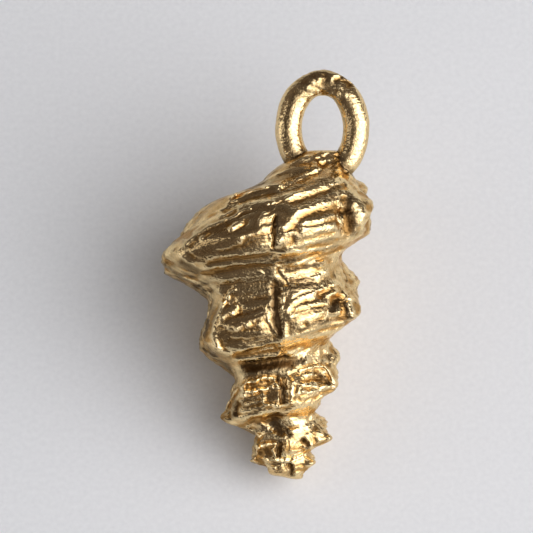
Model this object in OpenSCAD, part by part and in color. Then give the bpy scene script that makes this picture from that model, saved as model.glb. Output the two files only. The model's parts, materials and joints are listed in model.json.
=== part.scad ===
// Shell charm: a knobbed spiral sea shell and its hanging loop, cast in one piece.
//
// The shell is first drawn flat on its axis, as it is looked at: X to the right, Y from the
// point of the spire up to the loop, Z towards the viewer. It is then turned to lie on its
// knobs and its point on the XY plane, with the middle of its footprint at the origin.
//
// A place on the shell is a level and an angle. Levels count whorls along the axis: 0 is the
// body whorl, 4 is by the point, and negative levels lead up over the base to the loop's foot.
// The angle runs round the axis from the side towards the viewer, positive to the right.

/* [Size] */
// Length from the crown of the loop to the point of the spire
charm_length = 22; // [16:0.5:30]

/* [Spiral] */
// Share of a whorl's height that lies below its keel, down to the next suture
ramp_share = 0.44; // [0.35:0.01:0.55]
// Roundness of the ramp below the keel, 1 is an even curve
ramp_roundness = 1.25; // [0.8:0.05:1.6]
// Roundness of the wall above the keel
wall_roundness = 1.1; // [0.8:0.05:1.6]
// How far the wall of the body whorl reaches above its keel on its youngest side
young_wall = 0.30; // [0.2:0.05:0.5]
// How far it reaches above the keel where the whorl is full grown
grown_wall = 0.90; // [0.7:0.05:1]
// How much fuller the shell's left front is than a round
left_fullness = 0.12; // [0:0.01:0.2]
// Strength of the knobs and folds, 1 is as cast
knob_gain = 1; // [0:0.1:1.3]

/* [Loop] */
// Thickness of the loop's wire
wire_d = 1.42; // [1:0.05:1.8]
// Width of the eye between the loop's legs
eye_w = 2.2; // [1.8:0.1:2.6]
// Height of the whole eye, the part that the shell's boss fills included
eye_h = 3.46; // [3.2:0.02:3.8]
// Radius of the loop's centre line at its crown
crown_r = 1.45; // [1.2:0.05:1.7]

/* [Rest] */
// How far the axis dips from the loop down to the point as the charm lies
rest_dip = 18.4; // [0:0.1:30]
// How far the charm rolls to its right as it lies
rest_roll = -2.65; // [-20:0.05:20]

/* [Mesh] */
// Points round each ring of the shell
ring_points = 60; // [24:4:72]
// Distance between rings along the axis, as a share of the radius there
ring_step = 0.083; // [0.08:0.005:0.2]

/* [Hidden] */
gold = [0.83, 0.62, 0.27];

// Everything is drawn for a charm 22 mm long, and scaled from that.
drawn_length = 22;
scale_k = charm_length / drawn_length;

// Rings of the shell, from the loop's foot to the point. The centre is in the plane of view,
// tilt lifts the ring's right side, keel is the radius over the keels, suture in the grooves.
LEVEL = 0;
CENTRE_X = 1;
CENTRE_Y = 2;
TILT = 3;
KEEL = 4;
SUTURE = 5;
rings = [
    // level, centre x, centre y, tilt, keel, suture
    [-1.10,  3.02,   4.71,  0, 0.80, 0.80],
    [-1.00,  2.70,   4.39,  6, 1.45, 1.34],
    [-0.90,  2.30,   3.96,  9, 2.05, 1.85],
    [-0.75,  1.93,   3.32, 11, 2.64, 2.45],
    [-0.50,  0.74,   2.50,  9, 4.15, 3.68],
    [-0.25,  0.08,   1.28,  7, 5.40, 4.32],
    [ 0.00, -0.13,   0.00,  3, 5.60, 4.40],
    [ 1.00,  0.46,  -4.76,  0, 4.20, 3.00],
    [ 2.00,  0.62,  -8.78,  0, 2.95, 2.10],
    [ 3.00,  1.08, -11.13,  4, 2.05, 1.45],
    [ 4.00,  1.18, -12.47,  7, 1.15, 0.90],
    [ 4.35,  1.68, -12.92,  0, 0.30, 0.28],
];

// Knobs stand out of the keels, and folds, of negative height, run between them. Spans are
// half widths, round the axis in degrees and along it in levels. Drop is below the keel.
WHORL = 0;
ANGLE = 1;
HEIGHT = 2;
TURN_SPAN = 3;
LEVEL_SPAN = 4;
DROP = 5;
knobs = [
    // whorl, angle, height, turn span, level span, drop
    [0, -152,  0.70, 14, 0.13,  0.02],
    [0, -110,  0.35, 12, 0.12,  0.00],
    [0,  -92,  0.35, 12, 0.07,  0.11],
    [0,  -68,  0.45, 17, 0.13,  0.00],
    [0,   -8,  0.35, 14, 0.13, -0.02],
    [0,    6, -0.12,  5, 0.13, -0.03],
    [0,   25,  0.20, 14, 0.16, -0.05],
    [0,   51, -0.40,  7, 0.13, -0.02],
    [0,   70,  0.52, 10, 0.13,  0.00],
    [0,   88,  0.68, 24, 0.11,  0.25],
    [0,  100,  0.42, 11, 0.09, -0.13],
    [0,  145,  0.40, 14, 0.13,  0.02],
    [1, -140,  0.40, 13, 0.13,  0.00],
    [1,  -90, -0.55, 20, 0.11,  0.33],
    [1,  -85,  0.20, 12, 0.13,  0.02],
    [1,  -48,  0.45, 10, 0.13,  0.00],
    [1,  -14,  0.30, 13, 0.15, -0.05],
    [1,    6, -0.20,  7, 0.18, -0.12],
    [1,   22,  0.20, 13, 0.18, -0.08],
    [1,   48, -0.35,  8, 0.13, -0.02],
    [1,   70,  0.50, 10, 0.13,  0.00],
    [1,  100,  0.45, 12, 0.12, -0.26],
    [1,  150,  1.00, 14, 0.13,  0.00],
    [2, -145,  0.45, 16, 0.14,  0.00],
    [2,  -90, -0.10, 20, 0.12, -0.28],
    [2,  -90, -0.40, 24, 0.12,  0.44],
    [2,  -68,  0.75, 15, 0.14,  0.11],
    [2,   -8,  0.35, 14, 0.15, -0.02],
    [2,    9, -0.30,  8, 0.16, -0.05],
    [2,   24,  0.20, 10, 0.16, -0.10],
    [2,   78,  0.14, 14, 0.10,  0.00],
    [2,   84, -0.75, 24, 0.09,  0.15],
    [2,   95,  0.65, 16, 0.12, -0.41],
    [2,  130,  0.35, 16, 0.14,  0.00],
    [2,  165,  0.25, 16, 0.14,  0.00],
    [3, -120,  0.30, 20, 0.17,  0.00],
    [3,  -80, -0.35, 24, 0.14, -0.06],
    [3,  -74,  0.48, 20, 0.18,  0.25],
    [3,    0,  0.25, 16, 0.17,  0.00],
    [3,   16, -0.30,  9, 0.15, -0.05],
    [3,   76,  0.45, 18, 0.20,  0.10],
    [3,  100,  0.45, 18, 0.14, -0.36],
    [3,  150,  0.35, 20, 0.17,  0.00],
    [4,  -70, -0.25, 30, 0.25,  0.20],
    [4,   60,  0.35, 26, 0.20,  0.00],
];

// The body whorl fades out behind, where its mouth would open, between these angles.
mouth_start = 110;
mouth_end = 205;
// Angles between which the wall of the body whorl grows from young to grown.
growth_start = -110;
growth_end = 90;
// Angle at which the fuller part of the left front ends.
left_reach = 76;

// How far the closed ends stand beyond the first and the last ring.
end_rise = 0.05;
// The loop's centre line is an oval of four arcs: one each for crown and foot, and two sides.
loop_rx = (eye_w + wire_d) / 2;
loop_ry = (eye_h + wire_d) / 2;
side_r = (loop_rx * loop_rx + pow(loop_ry - crown_r, 2) - crown_r * crown_r)
    / (2 * (loop_rx - crown_r));
// Half the angle of a side arc, from where it meets the crown's to the loop's middle.
side_angle = atan2(loop_ry - crown_r, side_r - loop_rx);
loop_x = 3.04;
loop_y = drawn_length + rings[len(rings) - 1][CENTRE_Y] - end_rise - wire_d / 2 - loop_ry;

function smooth_step(a, b, x) =
    let (t = min(1, max(0, (x - a) / (b - a))))
    t * t * (3 - 2 * t);

// Slope of a column of the rings table at row i, from the rows on both sides.
function slope(i, column) =
    let (a = max(0, i - 1), b = min(len(rings) - 1, i + 1))
    (rings[b][column] - rings[a][column]) / (rings[b][LEVEL] - rings[a][LEVEL]);

function row_below(level, i = 0) =
    i >= len(rings) - 2 || rings[i + 1][LEVEL] > level ? i : row_below(level, i + 1);

// A column of the rings table at any level, on a smooth curve through its rows.
function ring_value(level, column) =
    let (
        i = row_below(level),
        h = rings[i + 1][LEVEL] - rings[i][LEVEL],
        t = (level - rings[i][LEVEL]) / h,
        u = 1 - t
    )
    (1 + 2 * t) * u * u * rings[i][column] + t * u * u * h * slope(i, column)
    + t * t * (3 - 2 * t) * rings[i + 1][column] - t * t * u * h * slope(i + 1, column);

// Section of a whorl: 1 on its keel and 0 in the sutures, d levels below the keel.
function whorl_section(d, wall) =
    d >= ramp_share || d <= -wall ? 0
    : d >= 0 ? (1 + cos(180 * pow(d / ramp_share, ramp_roundness))) / 2
    : (1 + cos(180 * pow(-d / wall, wall_roundness))) / 2;

// How far a whorl's wall reaches above its keel: to the suture in the older whorls.
function wall_reach(growth) =
    let (old_wall = 1 - ramp_share)
    old_wall + (young_wall - old_wall) * smooth_step(-180, growth_start, growth)
    + (grown_wall - young_wall) * smooth_step(growth_start, growth_end, growth);

function whorl_part(n, level, angle) =
    let (d = level + angle / 360 - n, growth = angle - 360 * n)
    (1 - smooth_step(mouth_start, mouth_end, growth)) * whorl_section(d, wall_reach(growth));

function sum(list, i = 0) = i >= len(list) ? 0 : list[i] + sum(list, i + 1);

function angle_from(a, b) = ((a - b) % 360 + 540) % 360 - 180;

// What a knob or fold adds to the radius there.
function knob_part(k, level, angle) =
    let (
        off = angle_from(angle, k[ANGLE]),
        round_by = off / k[TURN_SPAN],
        along = (level + (k[ANGLE] + off) / 360 - k[WHORL] - k[DROP]) / k[LEVEL_SPAN]
    )
    abs(round_by) > 3 || abs(along) > 3 ? 0
    : k[HEIGHT] * knob_gain * exp(-round_by * round_by - along * along);

function fuller(angle) =
    angle > -left_reach && angle < 0 ? left_fullness * pow(sin(180 * angle / left_reach), 2) : 0;

function shell_radius(level, angle) =
    let (keel = ring_value(level, KEEL), suture = ring_value(level, SUTURE))
    (1 + fuller(angle)) * (
        suture
        + (keel - suture) * sum([for (n = [-1 : 5]) whorl_part(n, level, angle)])
        + sum([for (k = knobs) knob_part(k, level, angle)])
    );

function ring(level) =
    let (
        x = ring_value(level, CENTRE_X),
        y = ring_value(level, CENTRE_Y),
        tilt = ring_value(level, TILT)
    )
    [for (j = [0 : ring_points - 1])
        let (angle = 360 * j / ring_points - 180, r = shell_radius(level, angle))
        [x + r * sin(angle) * cos(tilt), y + r * sin(angle) * sin(tilt), r * cos(angle)]];

// Levels between the rows of the rings table, closer where the shell is slender.
levels = [
    for (i = [0 : len(rings) - 2])
        let (
            a = rings[i],
            b = rings[i + 1],
            n = ceil((a[CENTRE_Y] - b[CENTRE_Y]) / (ring_step * (a[KEEL] + b[KEEL]) / 2))
        )
        for (q = [0 : n - 1]) a[LEVEL] + (b[LEVEL] - a[LEVEL]) * q / n,
    rings[len(rings) - 1][LEVEL]
];

first_row = rings[0];
last_row = rings[len(rings) - 1];
shell_points = concat(
    [for (level = levels) each ring(level)],
    [
        [first_row[CENTRE_X], first_row[CENTRE_Y] + end_rise, 0],
        [last_row[CENTRE_X], last_row[CENTRE_Y] - end_rise, 0]
    ]
);
top_pole = len(levels) * ring_points;
tip_pole = top_pole + 1;
last_ring = (len(levels) - 1) * ring_points;

function next(j) = (j + 1) % ring_points;

shell_faces = concat(
    [for (i = [0 : len(levels) - 2], j = [0 : ring_points - 1])
        let (a = i * ring_points, b = a + ring_points)
        each [
            [a + j, b + next(j), b + j],
            [a + j, a + next(j), b + next(j)]
        ]],
    [for (j = [0 : ring_points - 1]) [top_pole, next(j), j]],
    [for (j = [0 : ring_points - 1]) [tip_pole, last_ring + j, last_ring + next(j)]]
);

// The charm's turn from the plane of view to how it lies: a roll, then the dip of the axis.
function lying(p) =
    let (
        rx = p[0] * cos(rest_roll) + p[2] * sin(rest_roll),
        rz = p[2] * cos(rest_roll) - p[0] * sin(rest_roll)
    )
    [
        rx,
        p[1] * cos(rest_dip) - rz * sin(rest_dip),
        p[1] * sin(rest_dip) + rz * cos(rest_dip)
    ];

// Points over the crown of the loop, used only to find the charm's box.
crown_samples = [
    for (a = [side_angle : 2 : 180 - side_angle], b = [0 : 15 : 345])
        let (r = crown_r + wire_d / 2 * cos(b))
        [loop_x + r * cos(a), loop_y + loop_ry - crown_r + r * sin(a), wire_d / 2 * sin(b)]
];
lying_points = [for (p = concat(shell_points, crown_samples)) lying(p)];
function column(list, i) = [for (p = list) p[i]];
foot = [
    (min(column(lying_points, 0)) + max(column(lying_points, 0))) / 2,
    (min(column(lying_points, 1)) + max(column(lying_points, 1))) / 2,
    min(column(lying_points, 2))
];

// The spiral shell, closed at both ends.
module shell() {
    polyhedron(points = shell_points, faces = shell_faces, convexity = 10);
}

// An arc of wire about the origin, from one angle to another.
module wire_arc(r, from, to) {
    rotate(from)
        rotate_extrude(angle = to - from, $fn = 96)
            translate([r, 0]) circle(d = wire_d, $fn = 32);
}

// The oval hanging loop. Its foot is buried in the boss at the shell's base.
module hanging_loop() {
    translate([loop_x, loop_y, 0]) {
        for (side = [0, 180]) {
            rotate(side)
                translate([loop_rx - side_r, 0, 0]) wire_arc(side_r, -side_angle, side_angle);
            rotate(side)
                translate([0, loop_ry - crown_r, 0])
                    wire_arc(crown_r, side_angle, 180 - side_angle);
        }
    }
}

module shell_charm() {
    color(gold)
        scale(scale_k)
            translate(-foot)
                rotate([rest_dip, 0, 0]) rotate([0, rest_roll, 0])
                    union() {
                        shell();
                        hanging_loop();
                    }
}

shell_charm();
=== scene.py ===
# %% [markdown]
# # A knobbed shell charm, cast and plated in gold
#
# The charm is one casting: a spiral sea shell with a hanging loop at its base. The CAD
# model holds its true size and its place on the table. Here it gets the surface that the
# caster's hand gave it: ridges, grooves, knobs and pits, and a worn gold plating.

# %% Load the frame
import json
import math

import bmesh
import bpy
import numpy as np
from mathutils import Matrix, Vector, kdtree


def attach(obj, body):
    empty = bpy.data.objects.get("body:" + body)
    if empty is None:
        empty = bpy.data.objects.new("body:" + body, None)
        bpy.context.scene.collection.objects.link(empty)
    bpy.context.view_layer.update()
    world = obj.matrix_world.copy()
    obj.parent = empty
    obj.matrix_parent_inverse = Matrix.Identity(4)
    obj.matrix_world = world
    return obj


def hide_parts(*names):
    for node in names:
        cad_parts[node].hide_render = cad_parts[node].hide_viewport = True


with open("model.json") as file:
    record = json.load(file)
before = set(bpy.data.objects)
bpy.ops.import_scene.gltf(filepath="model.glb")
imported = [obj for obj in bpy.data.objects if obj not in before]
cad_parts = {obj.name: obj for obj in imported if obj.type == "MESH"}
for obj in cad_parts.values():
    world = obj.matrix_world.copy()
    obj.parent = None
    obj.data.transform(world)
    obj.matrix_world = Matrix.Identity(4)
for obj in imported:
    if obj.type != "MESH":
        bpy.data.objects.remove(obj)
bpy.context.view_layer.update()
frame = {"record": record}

MM = 0.001

# %% [markdown]
# ## The drawing board
#
# The shell is easiest to draw flat on its axis, as the photograph shows it: X to the right,
# Y up the axis to the loop, Z to the viewer, all in millimetres. On the table it lies on
# its knobs, rolled and dipped a little. One rotation and one move take the drawing to the
# table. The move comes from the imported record, whose mount says where the eye of the loop
# is, so the drawing can't drift away from the CAD.

# %% From the drawing to the table
REST_DIP = math.radians(18.4)
REST_ROLL = math.radians(-2.65)
EYE_ON_DRAWING = Vector((3.04, 6.185, 0.0))

turn = Matrix.Rotation(REST_DIP, 3, "X") @ Matrix.Rotation(REST_ROLL, 3, "Y")
eye_mount = next(m for m in frame["record"]["mounts"] if m["name"] == "loop_eye")
shift = Vector(eye_mount["pos_m"]) - turn @ EYE_ON_DRAWING * MM
TURN = np.array(turn)
SHIFT = np.array(shift)


def on_table(points):
    """Drawing millimetres to metres on the table, for one point or a point in each row."""
    return points @ TURN.T * MM + SHIFT


print("move, mm:", [round(v / MM, 3) for v in shift])

# %% [markdown]
# ## The spiral
#
# A shell grows as a tube that winds down a cone. Instead of a tube it can be drawn as a
# radius for each angle and each level of the axis: out on the keel of a whorl, in at the
# groove between two whorls, and the keel slips down one level for each turn. The tables
# are those of the CAD model, so both have the same body.

# %% Tables of the shell
# levels count whorls, the tilt is in degrees and the rest in millimetres
RING_COLUMNS = ("level", "x", "y", "tilt", "keel", "suture")
RINGS = np.array([
    (-1.10,  3.02,   4.71,  0, 0.80, 0.80),
    (-1.00,  2.70,   4.39,  6, 1.45, 1.34),
    (-0.90,  2.30,   3.96,  9, 2.05, 1.85),
    (-0.75,  1.93,   3.32, 11, 2.64, 2.45),
    (-0.50,  0.74,   2.50,  9, 4.15, 3.68),
    (-0.25,  0.08,   1.28,  7, 5.40, 4.32),
    ( 0.00, -0.13,   0.00,  3, 5.60, 4.40),
    ( 1.00,  0.46,  -4.76,  0, 4.20, 3.00),
    ( 2.00,  0.62,  -8.78,  0, 2.95, 2.10),
    ( 3.00,  1.08, -11.13,  4, 2.05, 1.45),
    ( 4.00,  1.18, -12.47,  7, 1.15, 0.90),
    ( 4.35,  1.68, -12.92,  0, 0.30, 0.28),
])
# levels that the ramp under a keel takes, and how round ramp and wall are
RAMP_SHARE = 0.44
RAMP_ROUNDNESS, WALL_ROUNDNESS = 1.25, 1.1
# levels that the wall over a keel takes: on later whorls, and on the last, young and grown
LATER_WALL, YOUNG_WALL, GROWN_WALL = 1 - RAMP_SHARE, 0.30, 0.90
# degrees in which the last whorl's wall grows, and in which it fades into the boss
GROWTH, MOUTH = (-110, 90), (110, 205)
# the left half of the front is fuller by a share, as far as so many degrees to the left
LEFT_FULLNESS, LEFT_REACH = 0.12, 76

KNOBS = (
    # whorl, angle, height, span in degrees, span in levels, drop below the keel
    (0, -152,  0.70, 14, 0.13,  0.02),
    (0, -110,  0.35, 12, 0.12,  0.00),
    (0,  -92,  0.35, 12, 0.07,  0.11),
    (0,  -68,  0.45, 17, 0.13,  0.00),
    (0,   -8,  0.35, 14, 0.13, -0.02),
    (0,    6, -0.12,  5, 0.13, -0.03),
    (0,   25,  0.20, 14, 0.16, -0.05),
    (0,   51, -0.40,  7, 0.13, -0.02),
    (0,   70,  0.52, 10, 0.13,  0.00),
    (0,   88,  0.68, 24, 0.11,  0.25),
    (0,  100,  0.42, 11, 0.09, -0.13),
    (0,  145,  0.40, 14, 0.13,  0.02),
    (1, -140,  0.40, 13, 0.13,  0.00),
    (1,  -90, -0.55, 20, 0.11,  0.33),
    (1,  -85,  0.20, 12, 0.13,  0.02),
    (1,  -48,  0.45, 10, 0.13,  0.00),
    (1,  -14,  0.30, 13, 0.15, -0.05),
    (1,    6, -0.20,  7, 0.18, -0.12),
    (1,   22,  0.20, 13, 0.18, -0.08),
    (1,   48, -0.35,  8, 0.13, -0.02),
    (1,   70,  0.50, 10, 0.13,  0.00),
    (1,  100,  0.45, 12, 0.12, -0.26),
    (1,  150,  1.00, 14, 0.13,  0.00),
    (2, -145,  0.45, 16, 0.14,  0.00),
    (2,  -90, -0.10, 20, 0.12, -0.28),
    (2,  -90, -0.40, 24, 0.12,  0.44),
    (2,  -68,  0.75, 15, 0.14,  0.11),
    (2,   -8,  0.35, 14, 0.15, -0.02),
    (2,    9, -0.30,  8, 0.16, -0.05),
    (2,   24,  0.20, 10, 0.16, -0.10),
    (2,   78,  0.14, 14, 0.10,  0.00),
    (2,   84, -0.75, 24, 0.09,  0.15),
    (2,   95,  0.65, 16, 0.12, -0.41),
    (2,  130,  0.35, 16, 0.14,  0.00),
    (2,  165,  0.25, 16, 0.14,  0.00),
    (3, -120,  0.30, 20, 0.17,  0.00),
    (3,  -80, -0.35, 24, 0.14, -0.06),
    (3,  -74,  0.48, 20, 0.18,  0.25),
    (3,    0,  0.25, 16, 0.17,  0.00),
    (3,   16, -0.30,  9, 0.15, -0.05),
    (3,   76,  0.45, 18, 0.20,  0.10),
    (3,  100,  0.45, 18, 0.14, -0.36),
    (3,  150,  0.35, 20, 0.17,  0.00),
    (4,  -70, -0.25, 30, 0.25,  0.20),
    (4,   60,  0.35, 26, 0.20,  0.00),
)
print(f"{len(RINGS)} rings, {len(KNOBS)} knobs")

# %% Values between the rows


def smooth_step(low, high, x):
    """0 up to low, 1 from high on, and a smooth rise between the two."""
    t = np.clip((x - low) / (high - low), 0, 1)
    return t * t * (3 - 2 * t)


def ring_slopes(values):
    """Slope at each row, from the rows on both sides, as in the CAD."""
    level = RINGS[:, 0]
    up = np.minimum(np.arange(len(level)) + 1, len(level) - 1)
    down = np.maximum(np.arange(len(level)) - 1, 0)
    return (values[up] - values[down]) / (level[up] - level[down])


def ring_value(level, name):
    """A column of the rings table at any level, on a smooth curve through its rows."""
    values = RINGS[:, RING_COLUMNS.index(name)]
    slopes = ring_slopes(values)
    known = RINGS[:, 0]
    i = np.clip(np.searchsorted(known, level, side="right") - 1, 0, len(known) - 2)
    h = known[i + 1] - known[i]
    t = (level - known[i]) / h
    u = 1 - t
    return ((1 + 2 * t) * u * u * values[i] + t * u * u * h * slopes[i]
            + t * t * (3 - 2 * t) * values[i + 1] - t * t * u * h * slopes[i + 1])


print("keel half a level below the body whorl's, mm:", ring_value(0.5, "keel").round(2))

# %% Radius of the shell
WHORLS = range(-1, 6)


def whorl_section(d, wall):
    """1 on a whorl's keel and 0 in the grooves, d levels below the keel."""
    down = np.clip(d / RAMP_SHARE, 0, 1) ** RAMP_ROUNDNESS
    up = np.clip(-d / wall, 0, 1) ** WALL_ROUNDNESS
    return (1 + np.cos(np.pi * np.where(d >= 0, down, up))) / 2


def body_radius(level, angle):
    """Distance of the plain shell from its axis, in millimetres, at angles in degrees."""
    keel, suture = ring_value(level, "keel"), ring_value(level, "suture")
    radius = suture.copy()
    phase = level + angle / 360
    for whorl in WHORLS:
        growth = angle - 360 * whorl
        wall = (LATER_WALL + (YOUNG_WALL - LATER_WALL) * smooth_step(-180, GROWTH[0], growth)
                + (GROWN_WALL - YOUNG_WALL) * smooth_step(*GROWTH, growth))
        fade = 1 - smooth_step(*MOUTH, growth)
        radius += (keel - suture) * fade * whorl_section(phase - whorl, wall)
    for whorl, knob_angle, height, turn_span, level_span, drop in KNOBS:
        off = (angle - knob_angle + 180) % 360 - 180
        along = level + (knob_angle + off) / 360 - whorl - drop
        radius += height * np.exp(-(off / turn_span) ** 2 - (along / level_span) ** 2)
    full = np.where((angle > -LEFT_REACH) & (angle < 0), np.sin(np.pi * angle / LEFT_REACH) ** 2, 0)
    return radius * (1 + LEFT_FULLNESS * full)


def shell_place(level, angle, radius):
    """Drawing coordinates of a point of the shell."""
    turned, tilt = np.radians(angle), np.radians(ring_value(level, "tilt"))
    return np.stack([
        ring_value(level, "x") + radius * np.sin(turned) * np.cos(tilt),
        ring_value(level, "y") + radius * np.sin(turned) * np.sin(tilt),
        radius * np.cos(turned),
    ], axis=-1)


print("radius at the front of five whorls, mm:", body_radius(np.arange(5.0), 0).round(2))

# %% [markdown]
# ## The carver's facets
#
# The shell's model was cut by hand: long ridges and grooves run with the whorls, and the
# plating lights up wherever a cut faces the lamp. Such a skin could be modelled as heights,
# but polished metal doesn't show its height, it shows which way each place faces. So the
# cuts are charted as strokes, drawn over the photograph in its pixels. A stroke says
# between which angles its skin may face: at the lamp, at the viewer, at the white card, at
# the pale sheet, up or down. A later stroke lies over the earlier ones. Many strokes also paint
# their skin darker: tarnish in grooves, painted shade in hollows and on facets that mirror the dark room,
# and some strokes only darken the skin, with dirt and painted shade, and leave its shape.

# %% Where a facet may face
# the charm is 22 mm and 411 pixels long; the pixel where the drawing's X and Y are zero
PHOTO_MM = 22 / 411
PHOTO_ORIGIN = (265.5, 238.0)

FACINGS = {
    # name: least and most degrees to the right, least and most degrees up
    "lamp": (30, 42, -14, 2),
    "glint": (18, 24, -14, 10),
    "pale": (12, 18, -14, 10),
    "viewer": (-20, -11, -10, 28),
    "hollow": (-24, -8, -10, 20),
    "card": (-39, -30, -14, 14),
    "sheet": (-74, -57, -20, 30),
    "top": (0, 40, 38, 56),
    "up": (-20, 8, 16, 38),
    "groove": (-60, 60, 38, 54),
    "step": (-60, 60, 56, 66),
    "pit": (-60, 60, 38, 54),
    "under": (-60, 60, -56, -44),
    # these two leave the skin as it faces and only darken it: dirt and painted shade, and lines of
    # tarnish and painted shade in the creases
    "soiled": (-90, 90, -90, 90),
    "lined": (-90, 90, -90, 90),
}
# how dark a facing is painted, from 0 to 1; one that isn't listed stays clean. The darkness is partly
# tarnish in the grooves and partly painted shade: in hollows, pits and folds, on facets that mirror the
# dark room, and on the left-hand side away from the lamp
STAINS_AND_SHADE = {"viewer": 0.4, "top": 0.5, "hollow": 0.9, "up": 1.0, "groove": 0.4, "step": 0.4,
          "pit": 0.9, "soiled": 0.8, "lined": 0.5}
print(f"{len(FACINGS)} facings, {len(STAINS_AND_SHADE)} of them stained")

# %% Facets of the body whorl
BODY_WHORL = (
    # facing, x and y of both ends, bow and half width of a stroke, all in pixels
    # dark ground of the left half
    ("viewer", 206, 246, 266, 226,  1.0, 20.0),
    ("viewer", 214, 268, 272, 264,  0.0,  8.0),
    ("viewer", 190, 244, 246, 216,  2.0,  6.0),
    ("viewer", 192, 255, 262, 246,  1.0,  8.5),
    ("viewer", 200, 250, 236, 238,  1.0,  9.0),
    ("viewer", 232, 204, 277, 190,  2.0,  5.5),
    ("viewer", 238, 214, 277, 208,  2.0,  4.5),
    ("viewer", 212, 266, 268, 258,  0.0,  5.0),
    # satin shoulder and the rims on it
    ("sheet",  186, 233, 232, 199,  4.0,  6.5),
    ("lamp",   222, 217, 236, 212,  0.0,  2.2),
    ("sheet",  226, 211, 243, 206,  0.5,  1.6),
    ("viewer", 222, 210, 240, 204,  1.0,  1.2),
    ("sheet",  232, 201, 284, 180,  1.0,  1.6),
    ("hollow", 250, 189, 280, 179,  0.5,  1.0),
    # patches on the dark ground
    ("lamp",   201, 239, 209, 236,  0.0,  1.8),
    ("lamp",   232, 229, 246, 223,  0.5,  4.0),
    ("glint",  262, 222, 272, 219,  0.0,  5.0),
    ("lamp",   262, 216, 268, 214,  0.0,  2.0),
    ("viewer", 238, 233, 262, 229,  0.5,  1.3),
    ("lamp",   240, 241, 272, 230,  1.5,  3.6),
    ("viewer", 244, 244, 265, 237,  1.0,  2.0),
    ("pale",   262, 246, 272, 243,  0.0,  2.0),
    ("glint",  240, 255, 272, 247,  0.5,  1.3),
    ("lamp",   194, 264, 198, 267,  0.0,  2.0),
    ("lamp",   213, 273, 218, 269,  0.0,  1.4),
    ("pale",   218, 253, 219, 256,  0.0,  1.0),
    ("viewer", 163, 265, 170, 262,  0.0,  0.9),
    # slot in the middle, with bright facets on its right
    ("hollow", 276, 219, 274, 244,  0.0,  2.6),
    ("lamp",   282, 228, 291, 227,  0.0,  3.2),
    ("lamp",   280, 241, 290, 239,  0.0,  2.8),
    ("groove", 281, 233, 296, 232,  0.0,  1.4),
    ("viewer", 266, 206, 296, 212, -1.0,  4.0),
    ("lamp",   267, 205, 282, 202,  0.0,  1.3),
    ("lamp",   274, 206, 276, 207,  0.0,  1.0),
    # long ridges and grooves of the right half
    ("top",    268, 184, 313, 170,  1.0,  3.0),
    ("lamp",   318, 153, 323, 165,  0.0,  2.6),
    ("glint",  300, 158, 309, 163,  0.0,  2.6),
    ("lamp",   341, 158, 347, 170,  0.0,  4.0),
    ("top",    280, 194, 330, 178,  1.0,  1.8),
    ("lamp",   281, 189, 316, 172,  0.5,  2.6),
    ("lamp",   287, 202, 336, 185,  0.5,  4.8),
    ("step",   290, 210, 342, 190,  1.0,  1.7),
    ("step",   304, 224, 341, 213,  1.5,  1.1),
    ("lamp",   333, 198, 343, 205,  0.0,  3.2),
    ("top",    330, 191, 341, 187,  0.0,  1.8),
    ("lamp",   299, 217, 341, 201,  1.5,  6.5),
    ("lamp",   330, 200, 342, 196,  0.0,  1.4),
    ("lamp",   322, 210, 344, 207,  0.0,  2.3),
    ("groove", 322, 217, 343, 214,  0.5,  1.2),
    ("lamp",   305, 224, 341, 219,  0.5,  2.2),
    ("groove", 311, 229, 338, 223,  0.5,  1.1),
    ("lamp",   314, 231, 334, 228,  0.0,  1.3),
    ("under",  316, 234, 338, 231,  0.0,  1.1),
    ("lamp",   300, 246, 336, 234,  1.0,  1.8),
    ("under",  312, 244, 337, 238,  0.5,  1.1),
    ("lamp",   308, 250, 334, 246,  0.5,  1.8),
    ("lamp",   286, 251, 300, 250,  0.0,  1.7),
    ("hollow", 272, 250, 284, 251,  0.0,  1.6),
    ("under",  300, 256, 328, 251,  0.5,  1.0),
    ("lamp",   297, 262, 340, 252,  0.0,  2.0),
    ("hollow", 266, 263, 298, 259,  0.0,  2.8),
    # dark valley before the right-hand knob, and the knob
    ("hollow", 348, 203, 351, 229, -1.0,  7.5),
    ("lamp",   363, 213, 361, 222,  0.0,  3.2),
    # skin at the far left, painted darker with dirt and painted shade, with an edge that the card lights
    ("soiled", 182, 263, 200, 272,  0.0,  4.0),
    ("soiled", 190, 277, 214, 283,  0.5,  1.3),
    ("card",   192, 281, 204, 280,  1.0,  2.0),
    ("soiled", 192, 287, 222, 281,  1.0,  1.5),
    ("soiled", 198, 292, 214, 290,  0.0,  1.8),
    # foot and top of the right-hand knob
    ("lamp",   358, 228, 363, 228,  0.0,  3.0),
    ("hollow", 364, 190, 366, 195,  0.0,  1.4),
    # fine brown lines between the ridges: tarnish and painted shade in the creases
    ("lined",  287, 251, 332, 239,  0.0,  1.0),
    ("lined",  297, 260, 337, 246,  1.5,  1.0),
    ("lined",  301, 235, 335, 225,  2.5,  0.9),
    ("lined",  300, 240, 340, 231,  3.0,  0.9),
    ("lined",  275, 264, 312, 255,  2.0,  1.0),
    ("lined",  322, 202, 340, 199,  0.5,  0.8),
    ("lined",  306, 217, 340, 211,  1.5,  0.9),
)

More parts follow.
